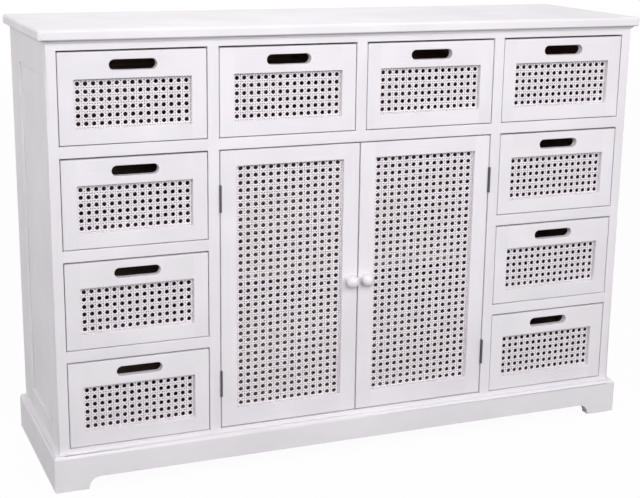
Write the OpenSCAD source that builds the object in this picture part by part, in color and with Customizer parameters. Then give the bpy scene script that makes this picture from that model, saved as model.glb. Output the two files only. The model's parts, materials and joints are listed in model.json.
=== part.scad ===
// A painted credenza with ten cane-fronted drawers and a two-door cane cupboard.
// The front faces -Y, +X is to the right and +Z is up. The origin is on the floor,
// midway across the width and midway between the knob tips and the back.

/* [Cabinet] */
// Width of the carcass across its two sides
carcass_w = 1122; // [1000:1:1300]
// Depth of the carcass from the face of its front frame to its back
carcass_d = 325; // [290:1:420]
// Height of the whole cabinet above the floor
cabinet_h = 800; // [720:1:900]
// Thickness of the side frames
side_t = 18; // [15:0.5:24]
// Thickness of the upright partitions
partition_t = 16; // [12:0.5:19]
// Thickness of the base board, of the cupboard ceiling and of the shelf
board_t = 16; // [12:0.5:20]
// Thickness of the plywood back
back_t = 5; // [3:0.5:8]

/* [Top] */
// Thickness of the top board
top_t = 17; // [12:0.5:20]
// Overhang of the top board past the front and the sides
top_overhang = 12; // [11:0.5:20]
// Radius of the nosing on the upper edge of the top board
nosing_r = 5; // [1:0.5:9]
// Radius of the lower edge of the top board
under_r = 2.5; // [1:0.5:6]
// Radius of the front corners of the top board, seen from above
corner_r = 6; // [3:0.5:12]
// Height of the cove moulding under the top board
cove_h = 5; // [3.5:0.5:14]
// Projection of the cove moulding
cove_out = 6; // [4:0.5:9]

/* [Front frame] */
// Thickness of the front frame
frame_t = 20; // [16:0.5:25]
// Width of the two outer stiles
outer_stile_w = 18; // [18:0.5:30]
// Width of the two mullions beside the doors
mullion_w = 20; // [18:0.5:30]
// Width of the short mullion between the two middle drawers
middle_mullion_w = 20; // [18:0.5:30]
// Height of the rail that shows under the moulding
top_rail_h = 12; // [8:0.5:30]
// Height of the rails between the drawers
rail_h = 20; // [16:0.5:30]
// Height of the rail on top of the plinth
low_rail_h = 8; // [6:0.5:20]

/* [Sides] */
// Width of the front stile of a side frame
side_front_stile_w = 34; // [25:1:60]
// Width of the rear stile of a side frame
side_rear_stile_w = 80; // [40:1:100]
// Height of the bottom rail of a side frame
side_bottom_rail_h = 36; // [30:1:80]
// Height of the top rail of a side frame
side_top_rail_h = 60; // [40:1:90]
// Thickness of a side panel
side_panel_t = 8; // [5:0.5:9]
// Setback of a side panel from the face of its frame
side_panel_setback = 4; // [2:0.5:6]
// Depth of the groove that holds a side panel
side_groove = 7; // [4:0.5:9]

/* [Plinth] */
// Height of the plinth
plinth_h = 66; // [50:1:90]
// Thickness of the plinth boards
plinth_t = 20; // [17:0.5:26]
// Projection of the plinth past the carcass
plinth_out = 12; // [8:0.5:16]
// Height of the bevel along the top of the plinth
plinth_bevel_h = 5; // [3:0.5:12]
// Depth of the bevel along the top of the plinth
plinth_bevel_in = 4; // [3:0.5:8]
// Width of a front foot, from the outer face of the plinth
foot_w = 60; // [40:1:120]
// Height of the cut-out between the front feet
arch_h = 21; // [12:0.5:35]
// Radius of the upper corners of the cut-out
arch_r = 21; // [5:0.5:21]

/* [Drawers] */
// Gap round a drawer front
front_gap = 1.6; // [1:0.1:3]
// Extra gap above a drawer front. A door has half of it above and half below.
head_gap = 1.6; // [0:0.1:2]
// Setback of the drawer fronts and doors from the front frame
front_setback = 0.8; // [0:0.1:3]
// Thickness of a drawer front
front_t = 15; // [14:0.5:20]
// Width of the stiles of a drawer front
front_stile_w = 26; // [20:0.5:40]
// Height of the top rail of a drawer front
front_top_rail_h = 45; // [38:0.5:60]
// Height of the bottom rail of a drawer front
front_bottom_rail_h = 26; // [22:0.5:40]
// Length of the finger slot
slot_l = 82; // [60:1:110]
// Height of the finger slot
slot_h = 18; // [14:0.5:20]
// Clearance between a drawer box and the back
box_end_gap = 24.2; // [4:0.1:80]
// Height of the sides of a drawer box
box_h = 122; // [80:1:124]
// Height of the back of a drawer box above its bottom panel
box_back_h = 100; // [60:1:105]
// Thickness of the sides and the back of a drawer box
box_t = 10; // [8:0.5:13]
// Thickness of the bottom panel of a drawer box
box_bottom_t = 4; // [3:0.5:6]
// Height of the lower edge of the bottom panel above the lower edge of the sides
box_bottom_up = 7; // [5:0.5:9]
// Depth of the groove that holds the bottom panel
box_groove = 4; // [2:0.5:5]
// Gap between a drawer box and the opening or the wall behind it, on each side
box_gap = 3; // [2:0.5:6]
// Width of a drawer runner
runner_w = 20; // [15:0.5:30]
// Height of a drawer runner
runner_h = 18; // [12:0.5:19]

/* [Cane] */
// Thickness of the cane webbing
cane_t = 2; // [1.5:0.1:2.6]
// Setback of the cane from the face of its frame
cane_setback = 7; // [5:0.1:9]
// Depth of the groove that holds the cane
cane_groove = 6; // [3:0.5:9]
// Diameter of an eye of the cane
cane_eye_d = 7.2; // [6:0.1:11]
// Distance between eyes of a drawer panel, across and up
drawer_pitch = 13.3; // [12.5:0.1:16]
// Distance between eyes of a door panel, across
door_pitch_x = 14.2; // [12.5:0.1:17]
// Distance between eyes of a door panel, up
door_pitch_z = 13.2; // [12.5:0.1:17]

/* [Doors] */
// Thickness of a door
door_t = 18; // [15:0.5:22]
// Gap between the two doors
meeting_gap = 2.4; // [2:0.1:4]
// Width of the stiles of a door
door_stile_w = 30; // [25:0.5:60]
// Height of the top rail of a door
door_top_rail_h = 28; // [24:0.5:60]
// Height of the bottom rail of a door
door_bottom_rail_h = 34; // [28:0.5:80]
// Diameter of a knob
knob_d = 24; // [18:0.5:26]
// Reach of a knob from the face of its door
knob_l = 24; // [18:0.5:32]
// Distance of a knob from the meeting edge of its door
knob_in = 14; // [13.5:0.5:16]
// Height of the knobs above the floor
knob_z = 331; // [200:1:480]

/* [Hinges] */
// Length of a hinge
hinge_l = 48; // [36:1:70]
// Distance of the middle of a hinge from the end of its door
hinge_from_end = 84; // [50:1:120]
// Width of a hinge leaf
leaf_w = 17; // [10:0.5:17.5]
// Thickness of a hinge leaf
leaf_t = 0.9; // [0.7:0.05:1]
// Gap between the door and the mullion, which holds both leaves
hinge_gap = 2; // [2:0.05:2.6]
// Radius of a hinge barrel
barrel_r = 2.1; // [1.9:0.1:3]
// Radius of a hinge pin
pin_r = 1.2; // [1:0.05:1.4]

/* [Cupboard] */
// Height of the shelf above the floor of the cupboard
shelf_up = 262; // [150:1:380]
// Setback of the shelf behind the front frame
shelf_setback = 20; // [1:1:60]
// Radius of a shelf peg
peg_r = 2.5; // [2:0.1:3.5]
// Length of a shelf peg
peg_l = 18; // [14:0.5:24]
// Depth of the hole that a shelf peg sits in
peg_in = 9; // [6:0.5:10]
// Setback of a shelf peg from the front and back edges of the shelf
peg_inset = 40; // [20:1:80]
// Length of a magnetic catch
catch_l = 44; // [30:1:60]
// Depth of a magnetic catch
catch_d = 14; // [10:1:20]
// Height of a magnetic catch
catch_h = 20; // [16:1:24]
// Distance of a catch from the meeting edge of its door
catch_in = 34; // [30:1:60]
// Height of a strike plate on a door
strike_h = 10; // [8:0.5:12]
// Thickness of a strike plate on a door
strike_t = 1; // [0.8:0.1:1]

/* [Fits] */
// Width of a glued joint between two pieces of one frame
glue = 0.1; // [0.05:0.01:0.2]
// Clearance of a piece that slides or slips into its place
fit = 0.3; // [0.2:0.05:0.5]
// Clearance of a hinge pin in its barrel
pin_fit = 0.05; // [0.02:0.01:0.1]

/* [Hidden] */
// Openings in the front frame. Row 1 is the top row and column 1 is on the left.
open_w = (carcass_w - 2 * outer_stile_w - 2 * mullion_w - middle_mullion_w) / 4;
carcass_top = cabinet_h - top_t;
face_top = carcass_top - cove_h;
floor_z = plinth_h + low_rail_h;
open_h = (face_top - top_rail_h - 3 * rail_h - floor_z) / 4;
front_y = -(carcass_d - knob_l) / 2 - front_setback / 2;
back_y = front_y + carcass_d;
inner_front_y = front_y + frame_t;
inner_back_y = back_y - back_t;
half_w = carcass_w / 2;
inner_half_w = half_w - side_t;
mullion_in = middle_mullion_w / 2 + open_w;
mullion_mid = mullion_in + mullion_w / 2;
open_x = [-half_w + outer_stile_w, -mullion_in, middle_mullion_w / 2, mullion_in + mullion_w];
function open_z(row) = floor_z + (4 - row) * (open_h + rail_h);
door_open_h = open_z(1) - rail_h - floor_z;

// Drawer fronts, in the opening's own frame: from its lower left corner on the face
front_w = open_w - 2 * front_gap;
front_h = open_h - 2 * front_gap - head_gap;
front_window_w = front_w - 2 * front_stile_w;
front_window_h = front_h - front_top_rail_h - front_bottom_rail_h;
slot_z = front_gap + front_h - front_top_rail_h / 2;
box_y = front_setback + front_t;
box_l = carcass_d - back_t - box_end_gap - box_y;
box_in = box_gap + max(0, side_t - outer_stile_w, (partition_t - min(mullion_w, middle_mullion_w)) / 2);

// Doors, in their own frame: from the lower hinge corner on the face
door_w = mullion_in - hinge_gap - meeting_gap / 2;
door_h = door_open_h - 2 * front_gap - head_gap;
door_window_w = door_w - 2 * door_stile_w;
door_window_h = door_h - door_top_rail_h - door_bottom_rail_h;
door_z = floor_z + front_gap + head_gap / 2;
hinge_x = mullion_in - hinge_gap / 2;
hinge_y = front_y - barrel_r - glue;
knuckles = 5;
knuckle_gap = 0.3;
knuckle_l = (hinge_l - (knuckles - 1) * knuckle_gap) / knuckles;
bore_r = pin_r + pin_fit;
shelf_z = floor_z + shelf_up;

CARCASS = ["top_board", "top_moulding", "face_stiles", "face_rails", "left_side_frame", "right_side_frame",
    "side_panels", "partitions", "cupboard_ceiling", "base_board", "shelf", "shelf_pegs", "drawer_runners",
    "back_panel", "plinth_front", "plinth_sides", "plinth_back",
    "hinge_frame_leaves", "hinge_pins", "magnetic_catches"];
DOOR_PARTS = ["frame", "cane", "knob", "hinge_leaves", "strike"];
DRAWER_PARTS = ["front", "cane", "box"];
// Each drawer's name, with its column and row
DRAWERS = [
    for (row = [1:4]) [str("left_drawer_", row), 1, row],
    for (row = [1:4]) [str("right_drawer_", row), 4, row],
    ["middle_left_drawer", 2, 1],
    ["middle_right_drawer", 3, 1],
];
far = 1;

paint = [0.93, 0.92, 0.93];
paint_side = [0.88, 0.87, 0.89];
cane_paint = [0.95, 0.94, 0.94];
bare_wood = [0.78, 0.72, 0.68];
steel = [0.5, 0.5, 0.52];
dark_plastic = [0.35, 0.33, 0.32];

// A box between its lowest and its highest corner
module block(lo, hi) {
    translate(lo) cube(hi - lo);
}

// What is drawn inside, and its mirror image across the middle of the cabinet
module both_sides() {
    children();
    mirror([1, 0, 0]) children();
}

// A plate with a grid of round eyes, as many as fit, standing in the XZ plane
module cane_panel(w, h, pitch_x, pitch_z) {
    open_cane_w = w - 2 * cane_groove;
    open_cane_h = h - 2 * cane_groove;
    nx = floor((open_cane_w + pitch_x - cane_eye_d) / pitch_x);
    nz = floor((open_cane_h + pitch_z - cane_eye_d) / pitch_z);
    rotate([90, 0, 0]) translate([0, 0, -cane_t]) linear_extrude(cane_t) difference() {
        square([w, h]);
        for (i = [0:nx - 1], k = [0:nz - 1])
            translate([w / 2 + (i - (nx - 1) / 2) * pitch_x, h / 2 + (k - (nz - 1) / 2) * pitch_z])
                circle(d = cane_eye_d, $fn = 32);
    }
}

// Two stiles with two rails glued between them, and the groove that takes a cane panel
module cane_frame(w, h, t, stile, top_rail, bottom_rail) {
    difference() {
        union() {
            block([0, 0, 0], [stile, t, h]);
            block([w - stile, 0, 0], [w, t, h]);
            block([stile + glue, 0, 0], [w - stile - glue, t, bottom_rail]);
            block([stile + glue, 0, h - top_rail], [w - stile - glue, t, h]);
        }
        block([stile - cane_groove, cane_setback - glue, bottom_rail - cane_groove],
              [w - stile + cane_groove, cane_setback + cane_t + glue, h - top_rail + cane_groove]);
    }
}

// What a rounded edge takes off a corner that runs along +X through the origin. The wood
// lies towards +Y and below.
module edge_round(l, r) {
    translate([-far, 0, -r]) rotate([90, 0, 90]) linear_extrude(l + 2 * far) difference() {
        translate([-far, 0]) square([r + far, r + far]);
        translate([r, 0]) circle(r, $fn = 64);
        translate([r, -far]) square([far, r + 2 * far]);
    }
}

module top_board() {
    top_w = carcass_w + 2 * top_overhang;
    top_d = carcass_d + top_overhang;
    color(paint) translate([-top_w / 2, back_y - top_d, carcass_top]) difference() {
        cube([top_w, top_d, top_t]);
        translate([0, 0, top_t]) {
            edge_round(top_w, nosing_r);
            translate([0, top_d, 0]) rotate([0, 0, -90]) edge_round(top_d, nosing_r);
            translate([top_w, 0, 0]) rotate([0, 0, 90]) edge_round(top_d, nosing_r);
        }
        mirror([0, 0, 1]) {
            edge_round(top_w, under_r);
            translate([0, top_d, 0]) rotate([0, 0, -90]) edge_round(top_d, under_r);
            translate([top_w, 0, 0]) rotate([0, 0, 90]) edge_round(top_d, under_r);
        }
        for (s = [0, 1]) translate([s * top_w, 0, -far]) mirror([s, 0, 0])
            linear_extrude(top_t + 2 * far) difference() {
                translate([-far, -far]) square(corner_r + far);
                translate([corner_r, corner_r]) circle(corner_r, $fn = 64);
            }
    }
}

// The cove moulding's section. The carcass lies towards -X and the top board above.
module cove_section() {
    difference() {
        square([cove_out, cove_h]);
        translate([cove_out + fit, 0]) circle(min(cove_out, cove_h) - 1, $fn = 64);
    }
}

// A length of a section along the front, mitred at both ends. In the section the carcass
// lies towards -X, and out is how far it projects.
module front_run(out) {
    difference() {
        translate([-half_w - out, 0, 0]) rotate([90, 0, 90])
            linear_extrude(carcass_w + 2 * out) mirror([1, 0]) children();
        both_sides() translate([half_w, 0, -far]) rotate([0, 0, -45])
            translate([-cabinet_h, -glue / 2, 0]) cube([2 * cabinet_h, cabinet_h, cabinet_h]);
    }
}

// The same section along the two sides, from the mitre to the back
module side_runs(out) {
    both_sides() translate([half_w, 0, 0]) difference() {
        translate([0, carcass_d, 0]) rotate([90, 0, 0]) linear_extrude(carcass_d + out) children();
        translate([0, 0, -far]) rotate([0, 0, -45])
            translate([-cabinet_h, -cabinet_h, 0])
                cube([2 * cabinet_h, cabinet_h + glue / 2, cabinet_h]);
    }
}

module top_moulding() {
    color(paint) translate([0, front_y, face_top]) {
        front_run(cove_out) cove_section();
        side_runs(cove_out) cove_section();
    }
}

module face_stiles() {
    color(paint) translate([0, front_y, 0]) {
        both_sides() {
            block([half_w - outer_stile_w, 0, plinth_h], [half_w, frame_t, carcass_top]);
            block([mullion_in, 0, floor_z], [mullion_in + mullion_w, frame_t, face_top - top_rail_h]);
        }
        block([-middle_mullion_w / 2, 0, open_z(1)],
              [middle_mullion_w / 2, frame_t, face_top - top_rail_h]);
    }
}

module face_rails() {
    rail_x = half_w - outer_stile_w - glue;
    color(paint) translate([0, front_y, 0]) {
        block([-rail_x, 0, face_top - top_rail_h + glue], [rail_x, frame_t, carcass_top]);
        block([-rail_x, 0, plinth_h], [rail_x, frame_t, floor_z - glue]);
        block([-mullion_in + glue, 0, open_z(1) - rail_h], [mullion_in - glue, frame_t, open_z(1) - glue]);
        both_sides() for (row = [1:3])
            block([mullion_in + mullion_w + glue, 0, open_z(row) - rail_h],
                  [rail_x, frame_t, open_z(row)]);
    }
}

// One side frame, on the right, with the groove for its panel
module side_frame() {
    l = inner_front_y + side_front_stile_w;
    r = back_y - side_rear_stile_w;
    lo = plinth_h + side_bottom_rail_h;
    hi = carcass_top - side_top_rail_h;
    panel_x = half_w - side_panel_setback;
    difference() {
        union() {
            block([inner_half_w, inner_front_y, plinth_h], [half_w, l, carcass_top]);
            block([inner_half_w, r, plinth_h], [half_w, back_y, carcass_top]);
            block([inner_half_w, l + glue, plinth_h], [half_w, r - glue, lo]);
            block([inner_half_w, l + glue, hi], [half_w, r - glue, carcass_top]);
        }
        block([panel_x - side_panel_t - glue, l - side_groove, lo - side_groove],
              [panel_x + glue, r + side_groove, hi + side_groove]);
    }
}

module left_side_frame() {
    color(paint_side) mirror([1, 0, 0]) side_frame();
}

module right_side_frame() {
    color(paint_side) side_frame();
}

module side_panels() {
    panel_x = half_w - side_panel_setback;
    reach = side_groove - fit;
    color(paint_side) both_sides()
        block([panel_x - side_panel_t, inner_front_y + side_front_stile_w - reach,
               plinth_h + side_bottom_rail_h - reach],
              [panel_x, back_y - side_rear_stile_w + reach, carcass_top - side_top_rail_h + reach]);
}

// The peg holes' axes, in the partition's inner faces
module at_pegs() {
    for (y = [inner_front_y + shelf_setback + peg_inset, inner_back_y - peg_inset])
        translate([mullion_mid - partition_t / 2, y, shelf_z - peg_r - glue]) rotate([0, 90, 0]) children();
}

module partitions() {
    color(bare_wood) {
        both_sides() difference() {
            block([mullion_mid - partition_t / 2, inner_front_y, floor_z],
                  [mullion_mid + partition_t / 2, inner_back_y, carcass_top]);
            at_pegs() translate([0, 0, -far]) cylinder(h = peg_in + far, r = peg_r + pin_fit, $fn = 32);
        }
        block([-partition_t / 2, inner_front_y, open_z(1)], [partition_t / 2, inner_back_y, carcass_top]);
    }
}

module shelf_pegs() {
    color(steel) both_sides() at_pegs()
        translate([0, 0, peg_in - glue - peg_l]) cylinder(h = peg_l, r = peg_r, $fn = 32);
}

module cupboard_ceiling() {
    x = mullion_mid - partition_t / 2;
    color(bare_wood) block([-x, inner_front_y, open_z(1) - board_t], [x, inner_back_y, open_z(1)]);
}

module base_board() {
    color(bare_wood)
        block([-inner_half_w, inner_front_y, floor_z - board_t], [inner_half_w, inner_back_y, floor_z]);
}

module shelf() {
    x = mullion_mid - partition_t / 2 - fit;
    color(bare_wood)
        block([-x, inner_front_y + shelf_setback, shelf_z], [x, inner_back_y - fit, shelf_z + board_t]);
}

// Runners under the drawers of the two outer columns. The lowest drawers run on the base
// board and the two middle drawers on the cupboard ceiling.
module drawer_runners() {
    color(bare_wood) both_sides() for (row = [1:3]) {
        z = open_z(row);
        block([inner_half_w - runner_w, inner_front_y, z - runner_h], [inner_half_w, inner_back_y, z]);
        x = mullion_mid + partition_t / 2;
        block([x, inner_front_y, z - runner_h], [x + runner_w, inner_back_y, z]);
    }
}

module back_panel() {
    color(bare_wood)
        block([-inner_half_w, inner_back_y, floor_z - board_t], [inner_half_w, back_y, carcass_top]);
}

// The plinth board's section. The carcass lies towards -X.
module plinth_section() {
    translate([plinth_out - plinth_t, 0])
        polygon([[0, 0], [plinth_t, 0], [plinth_t, plinth_h - plinth_bevel_h],
                 [plinth_t - plinth_bevel_in, plinth_h], [0, plinth_h]]);
}

module plinth_front() {
    half_arch = half_w + plinth_out - foot_w;
    color(paint) translate([0, front_y, 0]) difference() {
        front_run(plinth_out) plinth_section();
        translate([0, plinth_t, 0]) rotate([90, 0, 0]) linear_extrude(2 * plinth_t + far) {
            translate([-half_arch, -arch_r - far]) square([2 * half_arch, arch_h + far]);
            translate([-half_arch + arch_r, -far]) square([2 * (half_arch - arch_r), arch_h + far]);
            for (s = [-1, 1]) translate([s * (half_arch - arch_r), arch_h - arch_r]) circle(arch_r, $fn = 64);
        }
    }
}

module plinth_sides() {
    color(paint_side) translate([0, front_y, 0]) side_runs(plinth_out) plinth_section();
}

module plinth_back() {
    x = half_w + plinth_out - plinth_t;
    color(bare_wood) block([-x, back_y - plinth_t, 0], [x, back_y, floor_z - board_t]);
}

// One leaf of a hinge with its knuckles, from its lower end on the pin's axis. It lies
// against the wood on the +X side. first is 0 for the frame's leaf and 1 for the door's.
module hinge_leaf(first) {
    reach = barrel_r + fit;
    x = hinge_gap / 2 - leaf_t;
    difference() {
        union() {
            block([x, reach, 0], [x + leaf_t, leaf_w, hinge_l]);
            for (k = [first:2:knuckles - 1]) translate([0, 0, k * (knuckle_l + knuckle_gap)]) {
                cylinder(h = knuckle_l, r = barrel_r, $fn = 48);
                block([x, 0, 0], [x + leaf_t, reach + glue, knuckle_l]);
            }
        }
        translate([0, 0, -far]) cylinder(h = hinge_l + 2 * far, r = bore_r, $fn = 48);
    }
}

// The lower ends of the right-hand door's two hinges
module at_hinges() {
    for (z = [door_z + hinge_from_end, door_z + door_h - hinge_from_end])
        translate([hinge_x, hinge_y, z - hinge_l / 2]) children();
}

module hinge_frame_leaves() {
    color(steel) both_sides() at_hinges() hinge_leaf(0);
}

module hinge_pins() {
    color(steel) both_sides() at_hinges() cylinder(h = hinge_l, r = pin_r, $fn = 48);
}

module door_hinge_leaves() {
    color(steel) at_hinges() mirror([1, 0, 0]) hinge_leaf(1);
}

// The right-hand door's lower meeting corner, on its face
module at_door() {
    translate([meeting_gap / 2, front_y + front_setback, door_z]) children();
}

module door_frame() {
    color(paint) at_door()
        cane_frame(door_w, door_h, door_t, door_stile_w, door_top_rail_h, door_bottom_rail_h);
}

module door_cane() {
    grow = cane_groove - fit;
    color(cane_paint) at_door()
        translate([door_stile_w - grow, cane_setback, door_bottom_rail_h - grow])
            cane_panel(door_window_w + 2 * grow, door_window_h + 2 * grow, door_pitch_x, door_pitch_z);
}

// A turned knob: a foot, a neck and a ball that is cut flat behind
module door_knob() {
    r = knob_d / 2;
    neck_l = knob_l * 0.3;
    color(paint) at_door() translate([knob_in, 0, knob_z - door_z]) rotate([90, 0, 0]) {
        cylinder(h = knob_l * 0.12, r = r * 0.62, $fn = 64);
        cylinder(h = knob_l / 2, r = r * 0.45, $fn = 64);
        intersection() {
            translate([0, 0, knob_l - r]) sphere(r, $fn = 64);
            translate([0, 0, neck_l]) cylinder(h = knob_l, r = knob_d, $fn = 64);
        }
    }
}

module door_strike() {
    color(steel) at_door()
        translate([catch_in - catch_l / 2, door_t, open_z(1) - board_t - catch_h - door_z])
            cube([catch_l, strike_t, strike_h]);
}

// One part of the right-hand door
module door_part(part) {
    if (part == "frame") door_frame();
    if (part == "cane") door_cane();
    if (part == "knob") door_knob();
    if (part == "hinge_leaves") door_hinge_leaves();
    if (part == "strike") door_strike();
}

module magnetic_catches() {
    color(dark_plastic) both_sides()
        translate([meeting_gap / 2 + catch_in - catch_l / 2,
                   front_y + front_setback + door_t + strike_t + fit,
                   open_z(1) - board_t - catch_h])
            cube([catch_l, catch_d, catch_h]);
}

// A drawer's place: its opening's lower left corner, on the face
module at_opening(column, row) {
    translate([open_x[column - 1], front_y, open_z(row)]) children();
}

module drawer_front() {
    color(paint) difference() {
        translate([front_gap, front_setback, front_gap])
            cane_frame(front_w, front_h, front_t, front_stile_w, front_top_rail_h, front_bottom_rail_h);
        translate([open_w / 2, front_t + far, slot_z]) rotate([90, 0, 0]) linear_extrude(front_t + 2 * far) {
            square([slot_l - slot_h, slot_h], center = true);
            for (s = [-1, 1]) translate([s * (slot_l - slot_h) / 2, 0]) circle(slot_h / 2, $fn = 48);
        }
    }
}

module drawer_cane() {
    grow = cane_groove - fit;
    color(cane_paint) translate([front_gap + front_stile_w - grow, front_setback + cane_setback,
                                 front_gap + front_bottom_rail_h - grow])
        cane_panel(front_window_w + 2 * grow, front_window_h + 2 * grow, drawer_pitch, drawer_pitch);
}

module drawer_box() {
    y0 = box_y;
    y1 = box_y + box_l;
    bottom_z = fit + box_bottom_up;
    groove_lo = [box_in + box_t - box_groove, y0 - far, bottom_z - glue];
    groove_hi = [open_w - groove_lo[0], y1 - box_t, bottom_z + box_bottom_t + glue];
    color(bare_wood) {
        difference() {
            union() for (x = [box_in, open_w - box_in - box_t])
                block([x, y0, fit], [x + box_t, y1, fit + box_h]);
            block(groove_lo, groove_hi + [0, far + box_t, 0]);
        }
        block([box_in + box_t + glue, y1 - box_t, bottom_z + box_bottom_t + 2 * glue],
              [open_w - box_in - box_t - glue, y1, bottom_z + box_bottom_t + box_back_h]);
        block([groove_lo[0] + glue, y0, bottom_z],
              [groove_hi[0] - glue, y1, bottom_z + box_bottom_t]);
    }
}

// One part of a drawer
module drawer_part(part) {
    if (part == "front") drawer_front();
    if (part == "cane") drawer_cane();
    if (part == "box") drawer_box();
}

top_board();
top_moulding();
face_stiles();
face_rails();
left_side_frame();
right_side_frame();
side_panels();
partitions();
cupboard_ceiling();
base_board();
shelf();
shelf_pegs();
drawer_runners();
back_panel();
plinth_front();
plinth_sides();
plinth_back();
hinge_frame_leaves();
hinge_pins();
magnetic_catches();
for (part = DOOR_PARTS) {
    mirror([1, 0, 0]) door_part(part);
    door_part(part);
}
for (drawer = DRAWERS, part = DRAWER_PARTS)
    at_opening(drawer[1], drawer[2]) drawer_part(part);
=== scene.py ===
# %% [markdown]
# # A painted credenza with cane fronts
#
# The object is a low white cabinet: ten drawers and two doors whose frames hold woven
# cane, on a plinth with bracket feet. The shapes that move and carry come from the packed
# CAD frame. This lesson dresses them: it eases the boards' edges, weaves the cane, turns
# the knobs, sets the screws and gives every surface its finish.
# Blender's lengths are metres, and MM turns millimetres into them. Where a cell works in
# millimetres, it says so.

# %% Load the frame and measure it
import json
import math
import random

import bmesh
import bpy
from mathutils import Matrix, Vector
from mathutils.bvhtree import BVHTree

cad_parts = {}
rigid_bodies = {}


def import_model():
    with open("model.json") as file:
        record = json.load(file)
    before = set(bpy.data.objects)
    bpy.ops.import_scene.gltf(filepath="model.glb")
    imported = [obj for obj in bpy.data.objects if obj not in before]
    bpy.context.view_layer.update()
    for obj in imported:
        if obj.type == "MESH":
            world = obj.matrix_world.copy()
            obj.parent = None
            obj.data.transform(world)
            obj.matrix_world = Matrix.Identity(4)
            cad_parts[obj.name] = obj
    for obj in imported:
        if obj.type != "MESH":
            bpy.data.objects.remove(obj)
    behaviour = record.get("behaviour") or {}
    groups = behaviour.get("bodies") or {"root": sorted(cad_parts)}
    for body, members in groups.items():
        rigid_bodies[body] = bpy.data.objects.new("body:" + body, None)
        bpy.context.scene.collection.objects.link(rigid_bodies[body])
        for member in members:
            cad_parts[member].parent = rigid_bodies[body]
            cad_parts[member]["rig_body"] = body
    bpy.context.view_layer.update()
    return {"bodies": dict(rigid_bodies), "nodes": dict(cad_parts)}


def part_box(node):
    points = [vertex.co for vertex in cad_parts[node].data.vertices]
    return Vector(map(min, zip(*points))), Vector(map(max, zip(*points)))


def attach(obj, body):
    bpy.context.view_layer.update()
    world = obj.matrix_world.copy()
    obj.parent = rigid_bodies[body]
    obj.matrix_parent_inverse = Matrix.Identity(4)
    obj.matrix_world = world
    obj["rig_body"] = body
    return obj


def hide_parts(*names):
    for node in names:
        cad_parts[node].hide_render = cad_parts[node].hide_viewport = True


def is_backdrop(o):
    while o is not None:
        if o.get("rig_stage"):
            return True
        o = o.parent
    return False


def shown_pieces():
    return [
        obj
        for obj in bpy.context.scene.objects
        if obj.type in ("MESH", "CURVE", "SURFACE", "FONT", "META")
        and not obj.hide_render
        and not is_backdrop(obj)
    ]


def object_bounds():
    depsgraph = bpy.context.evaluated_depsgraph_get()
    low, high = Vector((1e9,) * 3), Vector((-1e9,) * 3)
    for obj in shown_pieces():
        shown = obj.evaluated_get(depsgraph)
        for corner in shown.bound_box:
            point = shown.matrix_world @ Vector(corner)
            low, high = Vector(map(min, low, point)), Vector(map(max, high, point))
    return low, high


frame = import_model()
MM = 0.001

# %% [markdown]
# ## Two helpers for materials
#
# Paint charts give colours as sRGB hex values, while a shader works with linear light, so
# one function turns the first into the second. A node tree is easiest to read when every
# node is added the same way: its kind, its settings, its constants and what feeds it.

# %% Colour and node helpers
def linear(hex_colour):
    """An sRGB hex value such as "#EDE9EE" as linear red, green, blue and alpha."""
    parts = [int(hex_colour[i:i + 2], 16) / 255 for i in (1, 3, 5)]
    return [p / 12.92 if p <= 0.04045 else ((p + 0.055) / 1.055) ** 2.4 for p in parts] + [1]


def add_node(tree, kind, settings=None, values=None, links=None):
    """Adds a node. settings are its properties, values its sockets' constants, and links
    the outputs that feed its sockets."""
    node = tree.nodes.new("ShaderNode" + kind)
    for name, value in (settings or {}).items():
        setattr(node, name, value)
    for socket, value in (values or {}).items():
        node.inputs[socket].default_value = value
    for socket, output in (links or {}).items():
        tree.links.new(output, node.inputs[socket])
    return node


def new_material(name):
    """An empty material with its output node, and its tree."""
    material = bpy.data.materials.new(name)
    material.use_nodes = True
    material.node_tree.nodes.clear()
    return material, material.node_tree


print("A mid grey of #808080 is", round(linear("#808080")[0], 3), "in linear light")

# %% [markdown]
# ## Where a pattern lies: the board's own coordinates
#
# Grain and brush marks follow each board, not the room. So every board carries an
# attribute named "board": its points in millimetres, with X along the grain. Each board
# also has a random shift, as if it were cut from another place in the plank. A cane strand
# carries the same attribute, with X along the strand.
#
# The first finish is the cabinet's own: white satin enamel, brushed on and sanded between
# coats. It is a smooth, slightly lilac white. What the eye gets is a soft sheen, faint
# brush marks 1 to 2 mm wide along the board, and a slow drift in tone where the coat is
# thicker. On the cane the coat is thin, and its marks are those of the bark's fibres.

# %% White satin enamel
DRIFT_MM = 140  # how far apart the thicker and the thinner places of a coat lie


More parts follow.
